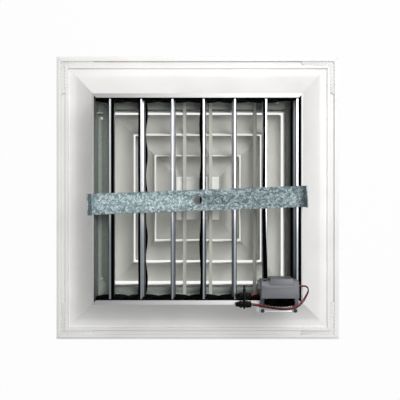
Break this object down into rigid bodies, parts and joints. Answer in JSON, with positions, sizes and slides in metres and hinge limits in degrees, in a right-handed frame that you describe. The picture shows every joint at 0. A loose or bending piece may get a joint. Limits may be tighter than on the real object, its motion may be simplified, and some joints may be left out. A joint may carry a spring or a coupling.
{
  "type": "ceiling air diffuser",
  "caption": "Square ceiling air diffuser with nested cone core, geared opposed-blade damper, geared electric actuator with leads, and a mounting bridge across the neck.",
  "frame": {"origin": "middle of the room face, at the lowest plane", "axes": "+Z into the duct, blades and their axes along Y, actuator towards +X and -Y"},
  "size_m": [0.447, 0.447, 0.141],
  "materials": {
    "frame_paint": "white powder coat",
    "core_paint": "off-white powder coat",
    "cast_key": "painted over",
    "galvanised_sheet": "galvanised, small spangle",
    "galvanised_strap": "galvanised, large spangle",
    "zinc_fastener": "zinc plated",
    "bracket_zinc": "bright zinc plated",
    "blackened_steel": "blackened",
    "mill_aluminium": "mill finish, drawn",
    "black_nylon": "moulded",
    "black_seal": "extruded",
    "grey_housing": "fine moulded texture",
    "motor_steel": "bright",
    "board_laminate": "solder mask",
    "red_sleeve": "extruded sleeve",
    "black_sleeve": "extruded sleeve",
    "black_plug": "moulded"
  },
  "bodies": {
    "frame": {"actuator_base": "grey_housing", "actuator_bracket": "bracket_zinc", "actuator_cover": "grey_housing", "actuator_screws": "blackened_steel", "bushes_back": "black_nylon", "bushes_front": "black_nylon", "cable_tie": "black_plug", "casing_back": "galvanised_sheet", "casing_fasteners": "zinc_fastener", "casing_front": "galvanised_sheet", "casing_left": "galvanised_sheet", "casing_right": "galvanised_sheet", "circuit_board": "board_laminate", "core_centre_pan": "core_paint", "core_centre_screw": "zinc_fastener", "core_cone_inner": "core_paint", "core_cone_middle": "core_paint", "core_cone_outer": "core_paint", "core_rib_1": "core_paint", "core_rib_2": "core_paint", "core_rib_3": "core_paint", "core_rib_4": "core_paint", "core_rivets": "zinc_fastener", "corner_keys": "cast_key", "lead_black_long": "black_sleeve", "lead_black_short": "black_sleeve", "lead_red_long": "red_sleeve", "lead_red_short": "red_sleeve", "motor": "motor_steel", "mounting_bridge": "galvanised_strap", "plug_back": "black_plug", "plug_front": "black_plug", "rail_back": "frame_paint", "rail_front": "frame_paint", "rail_left": "frame_paint", "rail_right": "frame_paint", "wall_gasket": "black_seal"},
    "vane_1": {"blade_1": "mill_aluminium", "gears_1": "black_nylon", "seals_1": "black_seal"},
    "vane_2": {"blade_2": "mill_aluminium", "gears_2": "black_nylon", "seals_2": "black_seal"},
    "vane_3": {"blade_3": "mill_aluminium", "gears_3": "black_nylon"},
    "vane_4": {"blade_4": "mill_aluminium", "gears_4": "black_nylon", "seals_4": "black_seal"},
    "vane_5": {"blade_5": "mill_aluminium", "gears_5": "black_nylon"},
    "vane_6": {"blade_6": "mill_aluminium", "gears_6": "black_nylon", "seals_6": "black_seal"},
    "vane_7": {"blade_7": "mill_aluminium", "gears_7": "black_nylon", "seals_7": "black_seal"},
    "output_shaft": {"output_gear": "black_nylon"},
    "motor_rotor": {"motor_pinion": "motor_steel"}
  },
  "joints": [
    {"name": "vane_1_turn", "type": "hinge", "parent": "frame", "child": "vane_1", "pos_m": [-0.1246, 0, 0.079], "axis": [0, 1, 0], "range_deg": [-90, 0]},
    {"name": "vane_2_turn", "type": "hinge", "parent": "frame", "child": "vane_2", "pos_m": [-0.0801, 0, 0.079], "axis": [0, 1, 0], "range_deg": [0, 90]},
    {"name": "vane_3_turn", "type": "hinge", "parent": "frame", "child": "vane_3", "pos_m": [-0.0356, 0, 0.079], "axis": [0, 1, 0], "range_deg": [-90, 0]},
    {"name": "vane_4_turn", "type": "hinge", "parent": "frame", "child": "vane_4", "pos_m": [0.0089, 0, 0.079], "axis": [0, 1, 0], "range_deg": [0, 90]},
    {"name": "vane_5_turn", "type": "hinge", "parent": "frame", "child": "vane_5", "pos_m": [0.0534, 0, 0.079], "axis": [0, 1, 0], "range_deg": [-90, 0]},
    {"name": "vane_6_turn", "type": "hinge", "parent": "frame", "child": "vane_6", "pos_m": [0.0979, 0, 0.079], "axis": [0, 1, 0], "range_deg": [0, 90]},
    {"name": "vane_7_turn", "type": "hinge", "parent": "frame", "child": "vane_7", "pos_m": [0.1424, 0, 0.079], "axis": [0, 1, 0], "range_deg": [-90, 0]},
    {"name": "output_turn", "type": "hinge", "parent": "frame", "child": "output_shaft", "pos_m": [0.1153, 0, 0.11753], "axis": [0, 1, 0], "range_deg": [-100.01, 0]},
    {"name": "rotor_turn", "type": "hinge", "parent": "frame", "child": "motor_rotor", "pos_m": [0.1112, 0, 0.1288], "axis": [0, 1, 0], "range_deg": [0, 233.4]}
  ],
  "couplings": [
    {"joint": "vane_1_turn", "follows": "vane_6_turn", "ratio": -1},
    {"joint": "vane_2_turn", "follows": "vane_6_turn", "ratio": 1},
    {"joint": "vane_3_turn", "follows": "vane_6_turn", "ratio": -1},
    {"joint": "vane_4_turn", "follows": "vane_6_turn", "ratio": 1},
    {"joint": "vane_5_turn", "follows": "vane_6_turn", "ratio": -1},
    {"joint": "vane_7_turn", "follows": "vane_6_turn", "ratio": -1},
    {"joint": "output_turn", "follows": "vane_6_turn", "ratio": -1.1111},
    {"joint": "rotor_turn", "follows": "vane_6_turn", "ratio": 2.5926}
  ]
}
